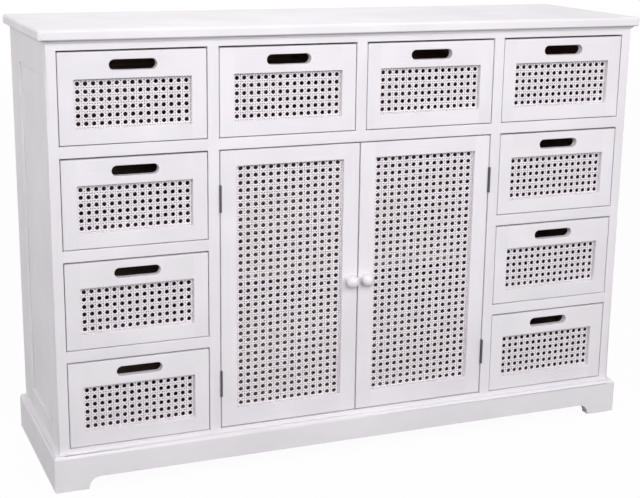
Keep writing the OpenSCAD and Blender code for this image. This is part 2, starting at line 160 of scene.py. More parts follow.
def satin_enamel(name, light, shade, mark_mm, mark_length_mm, relief_mm):
    """Brushed enamel: two near tones, a satin roughness and brush marks of a real size."""
    material, tree = new_material(name)
    board = add_node(tree, "Attribute", {"attribute_name": "board"}).outputs["Vector"]
    across = 1 / mark_mm
    marks_at = add_node(tree, "Mapping", values={"Scale": (1 / mark_length_mm, across, across)},
                        links={"Vector": board})
    marks = add_node(tree, "TexNoise", values={"Scale": 1, "Detail": 3, "Roughness": 0.55},
                     links={"Vector": marks_at.outputs[0]})
    drift = add_node(tree, "TexNoise",
                     values={"Scale": 1 / DRIFT_MM, "Detail": 2, "Roughness": 0.5},
                     links={"Vector": board})
    # The tone follows the drift, and the brush marks a third as much.
    both = add_node(tree, "Math", {"operation": "MULTIPLY_ADD"}, {1: 0.35},
                    {0: marks.outputs[0], 2: drift.outputs[0]})
    tone = add_node(tree, "MapRange", values={"From Min": 0.5, "From Max": 0.85},
                    links={"Value": both.outputs[0]})
    colour = add_node(tree, "Mix", {"data_type": "RGBA"}, {"A": linear(light), "B": linear(shade)},
                      {"Factor": tone.outputs[0]})
    sheen = add_node(tree, "MapRange", values={"To Min": 0.49, "To Max": 0.55},
                     links={"Value": drift.outputs[0]})
    relief = add_node(tree, "Bump", values={"Strength": 0.35, "Distance": relief_mm * MM},
                      links={"Height": marks.outputs[0]})
    surface = add_node(tree, "BsdfPrincipled", values={"IOR": 1.5},
                       links={"Base Color": colour.outputs["Result"],
                              "Roughness": sheen.outputs[0], "Normal": relief.outputs[0]})
    add_node(tree, "OutputMaterial", links={"Surface": surface.outputs[0]})
    return material


ENAMEL = satin_enamel("white_satin_enamel", "#F3EFF4", "#EBE7EC", mark_mm=1.6,
                      mark_length_mm=90, relief_mm=0.12)
CANE_ENAMEL = satin_enamel("white_enamel_on_cane", "#F6F1F6", "#E6DEE4", mark_mm=0.45,
                           mark_length_mm=14, relief_mm=0.08)
print("Finishes so far:", ENAMEL.name, CANE_ENAMEL.name)

# %% [markdown]
# ## Bare wood
#
# Nobody paints the inside of such a cabinet. Its shelf and partitions are paulownia, a
# light and cheap wood, planed and left bare: a pale greyish brown in which the eye sees
# late-wood lines every 4 to 6 mm that wander along the board. A cylinder of rings, cut
# off-centre, gives just that: a wave in rings about the board's length. The drawer boxes
# are meranti, which is darker and redder and has quieter lines. Their bottoms and the back
# are plywood, whose peeled veneer shows wider, softer figures, made by bands that a slow
# noise bends. Planed wood also shows fine fibres along the board. They are drawn 0.6 mm
# wide, about twice the real width, so that they show.

# %% Paulownia, meranti and plywood
WAVE_REPEAT = 0.314  # the Wave node's lines lie this far apart at scale 1
STRETCH = 0.12  # the figure is drawn out along the board
FIBRE_LENGTH_MM, FIBRE_MM = 22, 0.6


def bare_wood(name, early, late, wave, ring_mm, bend, roughness):
    """Unpainted wood: wave is how the figure runs, ring_mm the distance of its lines."""
    material, tree = new_material(name)
    board = add_node(tree, "Attribute", {"attribute_name": "board"}).outputs["Vector"]
    figure_at = add_node(tree, "Mapping", values={"Scale": (STRETCH, 1, 1)},
                         links={"Vector": board})
    figure = add_node(tree, "TexWave", wave,
                      {"Scale": WAVE_REPEAT / ring_mm, "Distortion": bend, "Detail": 2,
                       "Detail Scale": 1.2}, {"Vector": figure_at.outputs[0]})
    fibre_at = add_node(tree, "Mapping",
                        values={"Scale": (1 / FIBRE_LENGTH_MM, 1 / FIBRE_MM, 1 / FIBRE_MM)},
                        links={"Vector": board})
    fibre = add_node(tree, "TexNoise", values={"Scale": 1, "Detail": 3},
                     links={"Vector": fibre_at.outputs[0]})
    # The tone follows the figure, and the fibres half as much.
    depth = add_node(tree, "Math", {"operation": "MULTIPLY_ADD"}, {1: 0.45},
                     {0: fibre.outputs[0], 2: figure.outputs["Fac"]})
    tone = add_node(tree, "MapRange", values={"From Min": 0.1, "From Max": 1.3},
                    links={"Value": depth.outputs[0]})
    colour = add_node(tree, "Mix", {"data_type": "RGBA"}, {"A": linear(early), "B": linear(late)},
                      {"Factor": tone.outputs[0]})
    relief = add_node(tree, "Bump", values={"Strength": 0.4, "Distance": 0.15 * MM},
                      links={"Height": fibre.outputs[0]})
    surface = add_node(tree, "BsdfPrincipled", values={"IOR": 1.45, "Roughness": roughness},
                       links={"Base Color": colour.outputs["Result"], "Normal": relief.outputs[0]})
    add_node(tree, "OutputMaterial", links={"Surface": surface.outputs[0]})
    return material


RINGS = {"wave_type": "RINGS", "rings_direction": "X"}
BANDS = {"wave_type": "BANDS", "bands_direction": "Y"}
PAULOWNIA = bare_wood("planed_paulownia", "#BFB0A5", "#9E8B7F", RINGS, 5, 3, 0.72)
MERANTI = bare_wood("planed_meranti", "#9C8377", "#846C61", RINGS, 7, 3, 0.7)
PLYWOOD = bare_wood("rotary_cut_plywood", "#B2A49A", "#A1938A", BANDS, 16, 9, 0.78)
MERANTI_PLY = bare_wood("meranti_plywood", "#95796C", "#7D6458", BANDS, 16, 9, 0.76)
print("Finishes so far:", len(bpy.data.materials))

# %% [markdown]
# ## Metal and plastic
#
# The hinges, pegs and strikes are steel with a thin zinc coat that has gone dark with age.
# Old zinc is a deep grey with a fine cloudy crystal pattern, which moves the roughness more
# than the colour. The catches are moulded ABS: near black, with the fine spark-eroded
# grain of its mould, drawn a little coarser than the real 0.1 mm so that it shows.
# These pieces keep their CAD meshes, so their patterns lie on object coordinates.

# %% Zinc-plated steel and moulded ABS
def clouded(name, light, shade, cloud_mm, rough_low, rough_high, relief_mm, values):
    """A surface with a cloudy pattern, cloud_mm across, in its colour and roughness."""
    material, tree = new_material(name)
    place = add_node(tree, "TexCoord").outputs["Object"]
    cloud = add_node(tree, "TexNoise", values={"Scale": 1 / (cloud_mm * MM), "Detail": 4},
                     links={"Vector": place})
    colour = add_node(tree, "Mix", {"data_type": "RGBA"}, {"A": linear(light), "B": linear(shade)},
                      {"Factor": cloud.outputs[0]})
    rough = add_node(tree, "MapRange", values={"To Min": rough_low, "To Max": rough_high},
                     links={"Value": cloud.outputs[0]})
    relief = add_node(tree, "Bump", values={"Strength": 0.3, "Distance": relief_mm * MM},
                      links={"Height": cloud.outputs[0]})
    surface = add_node(tree, "BsdfPrincipled", values=values,
                       links={"Base Color": colour.outputs["Result"],
                              "Roughness": rough.outputs[0], "Normal": relief.outputs[0]})
    add_node(tree, "OutputMaterial", links={"Surface": surface.outputs[0]})
    return material


ZINC = clouded("aged_zinc_plated_steel", "#66656A", "#4A494D", cloud_mm=2.5, rough_low=0.3,
               rough_high=0.5, relief_mm=0.02, values={"Metallic": 1})
ABS = clouded("moulded_black_abs", "#2E2B29", "#24211F", cloud_mm=0.4, rough_low=0.45,
              rough_high=0.6, relief_mm=0.05, values={"IOR": 1.54})
for node in frame["nodes"].values():
    if node.name.endswith(("leaves", "pins", "pegs", "strike", "catches")):
        node.data.materials.clear()
        node.data.materials.append(ABS if node.name == "magnetic_catches" else ZINC)
        print("Kept from the CAD frame:", node.name)

# %% [markdown]
# ## Boards with eased edges
#
# A joiner never leaves a knife edge on painted wood: the enamel would chip there. Each
# edge is taken off with two strokes of sandpaper, to a radius of about 1 mm, and that is
# what catches a thin line of light round every drawer. The CAD solids have sharp edges,
# so each wooden node gets a copy of its solids with the edges rounded in mesh code. A
# Bevel modifier would do it too, but it would also open the glued joints, which the paint
# has filled. So a board is first cut where its neighbour begins and ends, an edge that
# another board touches stays sharp, and last the two close the hairline between them.
#
# First a node is taken apart into its boards. Its mesh is one object, and a board is what
# hangs together in it.

# %% Take a node apart
def corners(part):
    """The lowest and highest corner of a bmesh."""
    places = [v.co for v in part.verts]
    return Vector(map(min, *places)), Vector(map(max, *places))


def split_solids(node_name):
    """The closed solids of a CAD node, each as a bmesh whose flat faces are whole."""
    whole = bmesh.new()
    whole.from_mesh(frame["nodes"][node_name].data)
    bmesh.ops.remove_doubles(whole, verts=whole.verts, dist=1e-6)
    left = set(whole.verts)
    solids = []
    while left:
        found, edge_of_search = set(), [min(left, key=lambda v: v.index)]
        while edge_of_search:
            vert = edge_of_search.pop()
            if vert not in found:
                found.add(vert)
                edge_of_search += [e.other_vert(vert) for e in vert.link_edges]
        left -= found
        part = bmesh.new()
        twin = {v: part.verts.new(v.co) for v in sorted(found, key=lambda v: v.index)}
        for face in whole.faces:
            if face.verts[0] in found:
                part.faces.new([twin[v] for v in face.verts])
        bmesh.ops.dissolve_limit(part, angle_limit=math.radians(0.4), verts=part.verts,
                                 edges=part.edges)
        solids.append(part)
    whole.free()
    return solids


print("The face rails are", len(split_solids("face_rails")), "boards")

# %% [markdown]
# Then one board is worked. It is cut at its neighbours' ends, its free edges are rounded,
# and its glued faces meet its neighbours'. Last it gets its grain. A flat-sawn board of
# bare wood lies a few centimetres from the log's middle, so that the rings come out in
# long arches. A painted one may lie anywhere, because only brush marks show on it.

# %% Ease one board
SEED = random.Random(11)
TOUCH = 0.3 * MM  # boards nearer than this touch
GLUE_LINE = 0.16 * MM  # the hairline that a joint closes
RUN_OUT = 1 * MM
SHARP = math.radians(35)  # an edge that turns more than this is eased
ANYWHERE = 900  # this and the next two are in mm, as the attribute is
BESIDE_LOG_MIDDLE = 45
OVER_LOG_MIDDLE = 25, 70


def cut_at_neighbours(part, boxes):
    """Cuts the board's faces where a board that touches it begins or ends, and once more
    RUN_OUT inside the joint, so that an eased edge runs out there and not along the board."""
    low, high = corners(part)
    for near_low, near_high in boxes:
        if any(near_low[a] - TOUCH > high[a] or near_high[a] + TOUCH < low[a] for a in range(3)):
            continue
        for axis in range(3):
            ends = near_low[axis], near_high[axis]
            for place in (ends[0], ends[0] + RUN_OUT, ends[1] - RUN_OUT, ends[1]):
                if low[axis] + 2 * RUN_OUT < place < high[axis] - 2 * RUN_OUT:
                    point, normal = Vector(), Vector()
                    point[axis], normal[axis] = place, 1
                    everything = part.verts[:] + part.edges[:] + part.faces[:]
                    bmesh.ops.bisect_plane(part, geom=everything, dist=1e-7, plane_co=point,
                                           plane_no=normal)


def close_joints(part, others):
    """Moves what lies at a glued joint to the middle of its hairline."""
    for vert in part.verts:
        for other in others:
            spot = other.find_nearest(vert.co, GLUE_LINE)[0]
            if spot:
                vert.co = (vert.co + spot) / 2


def ease_edges(part, others, radius):
    """Rounds the board's sharp edges, apart from those that another board touches."""
    sharp = []
    for edge in part.edges:
        if len(edge.link_faces) == 2 and edge.calc_face_angle() > SHARP:
            middle = (edge.verts[0].co + edge.verts[1].co) / 2
            if not any(other.find_nearest(middle, TOUCH)[0] for other in others):
                sharp.append(edge)
    if sharp:
        bmesh.ops.bevel(part, geom=sharp, offset=radius, segments=2, profile=0.5,
                        affect="EDGES", clamp_overlap=False)


def lay_grain(part, flat_sawn):
    """Writes the "board" attribute: millimetres, with X along the board's longest side."""
    low, high = corners(part)
    size, middle = high - low, (low + high) / 2
    order = sorted(range(3), key=lambda axis: -size[axis])
    shift = [SEED.uniform(-ANYWHERE, ANYWHERE),
             SEED.uniform(-BESIDE_LOG_MIDDLE, BESIDE_LOG_MIDDLE), SEED.uniform(*OVER_LOG_MIDDLE)]
    if not flat_sawn:
        shift[1:] = [SEED.uniform(-ANYWHERE, ANYWHERE) for axis in order[1:]]
    layer = part.verts.layers.float_vector.new("board")
    for vert in part.verts:
        vert[layer] = [(vert.co[a] - middle[a]) / MM + s for a, s in zip(order, shift)]
    return size


print("A board's eased edge runs out within", RUN_OUT / MM, "mm inside a joint")

# %% [markdown]
# One function then dresses a whole node: it eases each board, lays its grain and joins
# them into one piece that stands for the node. Weighted normals keep the wide faces flat
# while the small rounds shade smoothly. In a node of bare wood the thin boards are
# plywood. MEETS names the nodes whose boards are glued to each other's. Painted boards are
# eased most, bare ones less, and the small moulding under the top least.

# %% Dress a node
def finish_mesh(name, mesh, materials, body, nodes=(), hard_angle=50):
    """A piece with its materials, smooth shading and its place on a body."""
    for material in materials:
        mesh.materials.append(material)
    mesh.shade_smooth()
    mesh.set_sharp_from_angle(angle=math.radians(hard_angle))
    piece = bpy.data.objects.new(name, mesh)
    bpy.context.scene.collection.objects.link(piece)
    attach(piece, body)
    if nodes:
        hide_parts(*nodes)
    return piece


MEETS = {"face_stiles": "face_rails", "face_rails": "face_stiles",
         "plinth_front": "plinth_sides", "plinth_sides": "plinth_front"}
PLY_UNDER = 6.5 * MM
EASE_PAINTED, EASE_BARE, EASE_BACK, EASE_MOULDING = 0.9 * MM, 0.6 * MM, 0.4 * MM, 0.25 * MM


def dress_boards(node_name, materials, radius):
    """Replaces a wooden CAD node by the same boards with eased edges and grain."""
    solids = split_solids(node_name)
    beside = split_solids(MEETS[node_name]) if node_name in MEETS else []
    trees = [BVHTree.FromBMesh(part) for part in solids + beside]
    boxes = [corners(part) for part in solids + beside]
    bare = materials[0] is not ENAMEL
    mesh = bpy.data.meshes.new(node_name + "_boards")
    joined = bmesh.new()
    for i, part in enumerate(solids):
        others = trees[:i] + trees[i + 1:]
        cut_at_neighbours(part, boxes[:i] + boxes[i + 1:])
        ease_edges(part, others, radius)
        close_joints(part, others)
        size = lay_grain(part, bare)
        if len(materials) > 1 and min(size) < PLY_UNDER:
            for face in part.faces:
                face.material_index = 1
        part.to_mesh(mesh)
        joined.from_mesh(mesh)
        part.free()
    joined.to_mesh(mesh)
    joined.free()
    body = frame["nodes"][node_name]["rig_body"]
    piece = finish_mesh(node_name + "_boards", mesh, materials, body, [node_name])
    piece.modifiers.new("even_faces", "WEIGHTED_NORMAL").keep_sharp = True


PAINTED = ["top_board", "face_stiles", "face_rails", "left_side_frame", "right_side_frame",
           "side_panels", "plinth_front", "plinth_sides", "left_door_frame", "right_door_frame"]
BARE = ["partitions", "cupboard_ceiling", "base_board", "shelf", "drawer_runners", "plinth_back"]
DRAWERS = sorted(name for name in frame["bodies"] if "drawer" in name)
for name in PAINTED + [d + "_front" for d in DRAWERS]:
    dress_boards(name, [ENAMEL], EASE_PAINTED)
dress_boards("top_moulding", [ENAMEL], EASE_MOULDING)
for name in BARE:
    dress_boards(name, [PAULOWNIA, PLYWOOD], EASE_BARE)
for drawer in DRAWERS:
    dress_boards(drawer + "_box", [MERANTI, MERANTI_PLY], EASE_BARE)
dress_boards("back_panel", [PLYWOOD], EASE_BACK)
boards = [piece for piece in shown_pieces() if piece.name.endswith("_boards")]
print("Faces in the boards:", sum(len(piece.data.polygons) for piece in boards))

# %% [markdown]
# ## Woven cane
#
# Cane webbing is woven from thin split rattan bark in six passes. Two strands run up
# side by side, two run across through them, and one on each diagonal cuts the corners of
# the square openings, which turns them into the well-known eight-sided eyes. An image of
# the pattern would look flat from the side, and a plate with holes has no weave. So each
# strand is a real ribbon, 0.5 mm thick with a rounded back, that goes over and under.
#
# The sizes come from the real webbing: eyes 7 mm wide and 13 to 14 mm apart, and strands
# 2.4 mm wide, whose pairs leave a slit that the diagonals part into two small gaps.
# In this part of the lesson all lengths are in millimetres.

# %% Split one strand
STRAND_W = 2.4
DIAGONAL_W = 2.25
STRAND_T = 0.46
BACK_SHARE = 0.28  # the flat back of the arch reaches this share of the width to each side


def ribbon(points, across, width, out):
    """Adds a strand to out, which holds vertices, faces and board coordinates. points are
    (x, z, height) in mm. Its section is a low arch, flat underneath."""
    verts, faces, laid = out
    start = len(verts)
    run = SEED.uniform(0, 500)
    section = [(-width / 2, -STRAND_T / 2), (-width * BACK_SHARE, STRAND_T / 2),
               (width * BACK_SHARE, STRAND_T / 2), (width / 2, -STRAND_T / 2)]
    for i, (x, z, height) in enumerate(points):
        if i:
            run += math.dist(points[i - 1][:2], (x, z))
        for a, up in section:
            verts.append((x + across[0] * a, -(height + up), z + across[1] * a))
            laid.append((run, a, up))
    n = len(section)
    for i in range(len(points) - 1):
        for k in range(n):
            a, b = start + i * n + k, start + i * n + (k + 1) % n
            faces.append((a, b, b + n, a + n))
    faces.append(tuple(start + k for k in reversed(range(n))))
    faces.append(tuple(start + (len(points) - 1) * n + k for k in range(n)))


print("A strand is", STRAND_W, "mm wide and", STRAND_T, "mm thick")

# %% [markdown]
# The two strands of a pair lie at fixed shares of the pitch, on both sides of the line
# between two eyes. Where they cross the pair of the other direction, each goes over one
# strand and under the next, a quarter of a millimetre up or down. The diagonals go over
# one whole pair and under the next, so they rise and fall twice as far.

# %% Lay the pairs and the diagonals
PAIR_SHARE = 0.287  # the distance of a pair's two strands, as a share of the pitch
LIFT = 0.25
DIAGONAL_LIFT = 0.5
CROSSING = 0.15  # a diagonal stays up or down this share of the pitch before and after


def straight_strands(half_along, half_across, pitch_along, pitch_across, eyes_along,
                     eyes_across, turn, out):
    """The pairs of one direction. turn is 0 for strands that run up and 1 for across."""
    bars = [(k - eyes_along / 2) * pitch_along for k in range(-1, eyes_along + 2)]
    for j in range(-1, eyes_across + 2):
        for side in (0, 1):
            place = (j - eyes_across / 2 + (side - 0.5) * PAIR_SHARE) * pitch_across
            if abs(place) > half_across - STRAND_W / 2:
                continue
            stops = [(-half_along, 0)]
            for bar in bars:
                for other in (0, 1):
                    lift = LIFT if (side + other + turn) % 2 else -LIFT
                    stops.append((bar + (other - 0.5) * PAIR_SHARE * pitch_along, lift))
                stops.append((bar + pitch_along / 2, 0))
            stops = [s for s in stops if abs(s[0]) <= half_along] + [(half_along, 0)]
            points = [(s, place, lift) if turn else (place, s, lift) for s, lift in stops]
            ribbon(points, (0, 1) if turn else (1, 0), STRAND_W, out)


def diagonal_strands(half_x, half_z, pitch_x, pitch_z, eyes_x, eyes_z, slope, out):
    """One direction of diagonals, through the middles of the bars between the eyes."""
    length = math.hypot(pitch_x, pitch_z)
    across = (pitch_z / length, -slope * pitch_x / length)
    reach = eyes_x + eyes_z + 3
    for n in range(-reach, reach):
        points = []
        for m in range(-2, 2 * eyes_x + 3):
            # At whole steps the strand crosses an upright pair, at half steps a level one.
            lift = DIAGONAL_LIFT if (m % 2 == 0) == (slope > 0) else -DIAGONAL_LIFT
            for u in (m / 2 - CROSSING, m / 2 + CROSSING):
                v = slope * u + n + 0.5
                points.append(((u - eyes_x / 2) * pitch_x, (v - eyes_z / 2) * pitch_z, lift))
        clipped = clip_run(points, half_x, half_z)
        if len(clipped) > 1:
            ribbon(clipped, across, DIAGONAL_W, out)


def clip_run(points, half_x, half_z):
    """The stretch of a straight run of points that lies inside the panel."""
    kept = []
    for a, b in zip(points, points[1:]):
        low, high = 0.0, 1.0
        for axis, half in ((0, half_x), (1, half_z)):
            step = b[axis] - a[axis]
            ends = sorted(((-half - a[axis]) / step, (half - a[axis]) / step))
            low, high = max(low, ends[0]), min(high, ends[1])
        if low < high:
            cut = [tuple(p + (q - p) * t for p, q in zip(a, b)) for t in (low, high)]
            kept += cut if not kept else cut[1:]
    return kept


print("A diagonal rises and falls by", DIAGONAL_LIFT, "mm")

# %% [markdown]
# A panel holds as many whole eyes as its window lets through, spread evenly about its
# middle, and its edge runs on into the groove of the frame, where nobody sees it. All the
# drawers share one panel and so do the doors. The strands take their paint's marks along
# their own length.

# %% Weave the panels and hang them
EYE = 7.2
HIDDEN = 5.7  # the rim in the groove
EDGE = 0.9  # the strands end this far inside the CAD panel's edge
DRAWER_PITCH = 13.3
DOOR_PITCH_X, DOOR_PITCH_Z = 14.2, 13.2


def weave_panel(node_name, pitch_x, pitch_z):
    """The mesh of a panel as large as the node's, about its own middle, in metres."""
    low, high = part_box(node_name)
    width, height = (high.x - low.x) / MM, (high.z - low.z) / MM
    eyes_x = int((width - 2 * HIDDEN + pitch_x - EYE) / pitch_x)
    eyes_z = int((height - 2 * HIDDEN + pitch_z - EYE) / pitch_z)
    half_x, half_z = width / 2 - EDGE, height / 2 - EDGE
    out = [], [], []
    straight_strands(half_z, half_x, pitch_z, pitch_x, eyes_z, eyes_x, 0, out)
    straight_strands(half_x, half_z, pitch_x, pitch_z, eyes_x, eyes_z, 1, out)
    for slope in (1, -1):
        diagonal_strands(half_x, half_z, pitch_x, pitch_z, eyes_x, eyes_z, slope, out)
    verts, faces, laid = out
    mesh = bpy.data.meshes.new("woven_cane")
    mesh.from_pydata([[c * MM for c in v] for v in verts], [], faces)
    board = mesh.attributes.new("board", "FLOAT_VECTOR", "POINT")
    board.data.foreach_set("vector", [c for point in laid for c in point])
    print("Woven:", eyes_x, "by", eyes_z, "eyes,", len(faces), "faces")
    return mesh


def hang_cane(node_name, mesh):
    """A woven panel in the place of a CAD cane node."""
    low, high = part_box(node_name)
    panel = mesh.copy()
    panel.transform(Matrix.Translation((low + high) / 2))
    body = frame["nodes"][node_name]["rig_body"]
    finish_mesh(node_name + "_weave", panel, [CANE_ENAMEL], body, [node_name],
                hard_angle=70)


drawer_weave = weave_panel("left_drawer_1_cane", DRAWER_PITCH, DRAWER_PITCH)
door_weave = weave_panel("left_door_cane", DOOR_PITCH_X, DOOR_PITCH_Z)
for drawer in DRAWERS:
    hang_cane(drawer + "_cane", drawer_weave)
for side in ("left", "right"):
    hang_cane(side + "_door_cane", door_weave)

# %% [markdown]
# ## Turned knobs
#
# Each door has one small wooden knob, turned on a lathe and painted with the frame. It
# has a foot, a waist for the fingertips and a ball that is a little flat in front. A lathe
# is a profile that goes round an axis, and so is bmesh's spin. The profile is a row of
# radius and height in millimetres, from the foot to the front.

# %% Turn the knobs
FRONT = Vector((0, -1, 0))
SPIN_STEPS = 48
KNOB_PROFILE = [(0, 0), (7.0, 0), (7.4, 0.5), (7.3, 1.7), (6.7, 2.7), (5.8, 3.6), (5.3, 4.8),
                (5.3, 5.9), (6.0, 6.9), (7.7, 7.7), (9.6, 8.6), (11.1, 9.9), (11.9, 11.6),
                (11.95, 13.4), (11.4, 15.8), (10.3, 18.1), (8.6, 20.3), (6.3, 22.2),
                (3.4, 23.5), (1.4, 23.9), (0, 23.95)]


def turn_knob(side, seat):
    """A door's knob, turned from KNOB_PROFILE, with its foot at seat and its ball in front."""
    part = bmesh.new()
    line = [part.verts.new((radius * MM, 0, height * MM)) for radius, height in KNOB_PROFILE]
    edges = [part.edges.new(pair) for pair in zip(line, line[1:])]
    bmesh.ops.spin(part, geom=line + edges, axis=(0, 0, 1), cent=(0, 0, 0), steps=SPIN_STEPS,
                   angle=2 * math.pi, use_merge=True)
    bmesh.ops.remove_doubles(part, verts=part.verts, dist=1e-6)
    bmesh.ops.recalc_face_normals(part, faces=part.faces)
    lay_grain(part, False)
    part.transform(FRONT.to_track_quat("Z", "Y").to_matrix().to_4x4())
    part.transform(Matrix.Translation(seat))
    mesh = bpy.data.meshes.new(side + "_knob_turned")
    part.to_mesh(mesh)
    part.free()
    finish_mesh(side + "_knob_turned", mesh, [ENAMEL], side + "_door",
                [side + "_door_knob"])


for side in ("left", "right"):
    low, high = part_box(side + "_door_knob")
    seat = Vector(((low.x + high.x) / 2, high.y, (low.z + high.z) / 2))
    turn_knob(side, seat)
    print(side, "knob sits at", [round(c / MM, 1) for c in seat])

# %% [markdown]
# ## Screws
#
# The hinge leaves are held by three countersunk screws each, and the knob by one head
# inside the door. Such a head is a flat disc with a cross cut into it. The cross is real
# geometry, because a bump vanishes when the surface is seen from the side. A brad is the
# same disc without the cross. All these sizes are in millimetres.

# %% Cut a cross-slot screw head
HEAD_SIDES = 24
CROSS_REACH, CROSS_HALF = 0.62, 0.13  # shares of the head's radius
CROSS_DEPTH = 0.6  # a share of the head's thickness


def cross_outline(reach, half):
    """The twelve corners of a cross: three of them, and those turned by three quarters."""
    quarter = [(reach, -half), (reach, half), (half, half)]
    outline = []
    for cosine, sine in ((1, 0), (0, 1), (-1, 0), (0, -1)):
        outline += [(x * cosine - y * sine, x * sine + y * cosine) for x, y in quarter]
    return outline


def sink(part, edges, depth):
    """Pulls a closed outline down into a wall and closes it with a floor."""
    wall = bmesh.ops.extrude_edge_only(part, edges=edges)["geom"]
    lower = [g for g in wall if isinstance(g, bmesh.types.BMVert)]
    bmesh.ops.translate(part, verts=lower, vec=(0, 0, -depth))
    bmesh.ops.contextual_create(part, geom=[g for g in wall if isinstance(g, bmesh.types.BMEdge)
                                            and g.is_boundary])


def add_head(mesh_data, place, direction, radius, thick, crossed):
    """One head whose top lies at place and looks along direction, all in mm."""
    part = bmesh.new()
    angles = [2 * math.pi * k / HEAD_SIDES for k in range(HEAD_SIDES)]
    outlines = [[(radius * math.cos(a), radius * math.sin(a)) for a in angles]]
    if crossed:
        outlines.append(cross_outline(radius * CROSS_REACH, radius * CROSS_HALF))
    loops = []
    for outline in outlines:
        ring = [part.verts.new((x, y, 0)) for x, y in outline]
        loops.append([part.edges.new((ring[k], ring[k - 1])) for k in range(len(ring))])
    bmesh.ops.triangle_fill(part, edges=sum(loops, []), use_beauty=True)
    for cross in loops[1:]:
        sink(part, cross, thick * CROSS_DEPTH)
    sink(part, loops[0], thick)
    bmesh.ops.recalc_face_normals(part, faces=part.faces)
    turned = Matrix.Rotation(SEED.uniform(0, math.pi), 4, "Z")
    part.transform(direction.to_track_quat("Z", "Y").to_matrix().to_4x4() @ turned)
    part.transform(Matrix.Translation(place))
    part.transform(Matrix.Scale(MM, 4))
    part.to_mesh(mesh_data)
    part.free()


def set_heads(name, body, places, direction, radius=2.6, thick=0.7, crossed=True):
    """All the screws or brads of one kind on one body, as one piece."""
    joined = bmesh.new()
    head = bpy.data.meshes.new(name + "_head")
    for place in places:
        add_head(head, Vector(place), Vector(direction), radius, thick, crossed)
        joined.from_mesh(head)
    bpy.data.meshes.remove(head)
    mesh = bpy.data.meshes.new(name)
    joined.to_mesh(mesh)
    joined.free()
    finish_mesh(name, mesh, [ZINC], body, hard_angle=30)


def box_mm(node_name):
    """The lowest and the highest corner of a CAD node, in mm."""
    return [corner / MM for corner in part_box(node_name)]


def middle_mm(node_name):
    """The middle of a CAD node, in mm."""
    low, high = box_mm(node_name)
    return (low + high) / 2


print("A head has", HEAD_SIDES, "sides and its cross", len(cross_outline(1, 1)), "corners")

# %% [markdown]
# The screws of a hinge stand in a row down the middle of its leaf, 16 mm apart. The two
# leaves of a shut hinge lie 0.2 mm apart, so the heads may stand proud by a few
# hundredths of a millimetre and no more.

# %% Screw the hinges on
LEAF_GAP = 0.2
PROUD = 0.03
BARREL_R = 2.1
HINGE_L = 48
ROW_IN = 9.7  # from the hinge's axis back to the row of screws
SCREW_STEP = 16
leaf_low, leaf_high = box_mm("right_door_hinge_leaves")
axis_x, axis_y = leaf_high.x - BARREL_R, leaf_low.y + BARREL_R
middles = [leaf_low.z + HINGE_L / 2, leaf_high.z - HINGE_L / 2]
rows = [(axis_y + ROW_IN, z + step) for z in middles for step in (-SCREW_STEP, 0, SCREW_STEP)]
for side, sign in (("left", -1), ("right", 1)):
    door_face = sign * (axis_x - LEAF_GAP / 2 + PROUD)
    frame_face = sign * (axis_x + LEAF_GAP / 2 - PROUD)
    set_heads(side + "_door_hinge_screws", side + "_door",
              [(door_face, y, z) for y, z in rows], (sign, 0, 0))
    set_heads(side + "_frame_hinge_screws", "carcass",
              [(frame_face, y, z) for y, z in rows], (-sign, 0, 0))
print("Hinge axis in mm:", round(axis_x, 2), round(axis_y, 2))

# %% [markdown]
# What shows when a door stands open: the head of the knob's screw and the two small
# screws in each strike plate. The knob's screw stands on the door's back. The strike's
# are countersunk, so they lie all but flush.

# %% Screw the knobs and the strikes on
BEHIND = (0, 1, 0)
KNOB_SCREW_T = 1.7
STRIKE_SCREWS = -15, 15  # from the middle of the strike
for side in ("left", "right"):
    door = side + "_door"
    knob, strike = middle_mm(door + "_knob"), middle_mm(door + "_strike")
    door_back, strike_back = box_mm(door + "_frame")[1].y, box_mm(door + "_strike")[1].y
    set_heads(side + "_knob_screw", door, [(knob.x, door_back + KNOB_SCREW_T, knob.z)], BEHIND,
              radius=3.8, thick=KNOB_SCREW_T)
    set_heads(side + "_strike_screws", door,
              [(strike.x + step, strike_back + PROUD, strike.z) for step in STRIKE_SCREWS],
              BEHIND, radius=2.2, thick=0.6)

# %% [markdown]
# A magnetic catch holds its magnet between two steel plates, whose edges stand a hair out
# of the plastic, towards the strike. Each is a small block with its edges broken.

# %% Pole plates of the catches
POLE_SIZE = 39, 3, 1.4
POLE_IN = 1.35  # from the catch's front to the middle of the plate, so 0.15 mm stands out
POLE_HEIGHTS = 4, 9  # above the catch's underside
catch_low = box_mm("magnetic_catches")[0]
poles = bmesh.new()
for side in ("left", "right"):
    middle_x = middle_mm(side + "_door_strike").x
    for height in POLE_HEIGHTS:
        place = Matrix.Translation((middle_x, catch_low.y + POLE_IN, catch_low.z + height))
        bmesh.ops.create_cube(poles, size=1, matrix=place @ Matrix.Diagonal((*POLE_SIZE, 1)))
bmesh.ops.bevel(poles, geom=poles.edges[:], offset=0.12, segments=1, affect="EDGES")
poles.transform(Matrix.Scale(MM, 4))
pole_mesh = bpy.data.meshes.new("pole_plates")
poles.to_mesh(pole_mesh)
poles.free()
finish_mesh("catch_pole_plates", pole_mesh, [ZINC], "carcass", hard_angle=30)
print("Pole plates:", len(pole_mesh.polygons), "faces")

# %% [markdown]
# From behind, the plywood back shows the brads that hold it: a row along each edge, one
# along the cupboard's ceiling and one up each partition. They are driven by eye, so each
# is up to 2 mm off its row.

